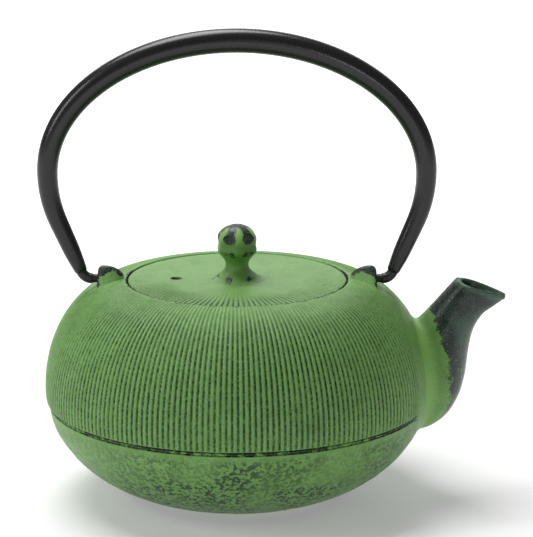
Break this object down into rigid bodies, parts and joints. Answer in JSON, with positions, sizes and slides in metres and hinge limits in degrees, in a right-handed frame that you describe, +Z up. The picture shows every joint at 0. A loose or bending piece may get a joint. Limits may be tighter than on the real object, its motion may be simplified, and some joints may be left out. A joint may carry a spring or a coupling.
{
  "type": "cast iron teapot",
  "caption": "Squat ribbed cast iron teapot with side spout, drop-in lid with bud knob, folding steel bail handle and lift-out steel infuser.",
  "frame": {"origin": "centre of the flat standing face, on the pot's axis", "axes": "+Z up along the pot's axis, +X towards the spout; the handle stands in the XZ plane and folds about X"},
  "size_m": [0.1776, 0.147, 0.18],
  "materials": {
    "pot_iron": "matt green rubbed over dark green-black",
    "lid_iron": "matt green rubbed over dark green-black",
    "knob_iron": "dark green-black with green rubbed on the ridges",
    "washer_steel": "plain steel",
    "handle_black": "satin black paint",
    "hook_black": "satin black paint",
    "infuser_steel": "bright pressed stainless sheet",
    "infuser_mesh": "woven stainless wire"
  },
  "bodies": {
    "pot": {"pot_body": "pot_iron"},
    "handle": {"handle_tube": "handle_black", "handle_hook_left": "hook_black", "handle_hook_right": "hook_black"},
    "infuser": {"infuser_rim": "infuser_steel", "infuser_wall_mesh": "infuser_mesh", "infuser_base_mesh": "infuser_mesh", "infuser_base_ring": "infuser_steel"},
    "lid": {"lid": "lid_iron", "knob": "knob_iron", "knob_washer": "washer_steel"}
  },
  "joints": [
    {"name": "handle_fold", "type": "hinge", "parent": "pot", "child": "handle", "pos_m": [0, 0, 0.0842], "axis": [1, 0, 0], "range_deg": [-120, 120]},
    {"name": "infuser_lift", "type": "slide", "parent": "pot", "child": "infuser", "axis": [0, 0, 1], "range_m": [0, 0.05]},
    {"name": "lid_lift", "type": "slide", "parent": "infuser", "child": "lid", "axis": [0, 0, 1], "range_m": [0, 0.05]}
  ]
}
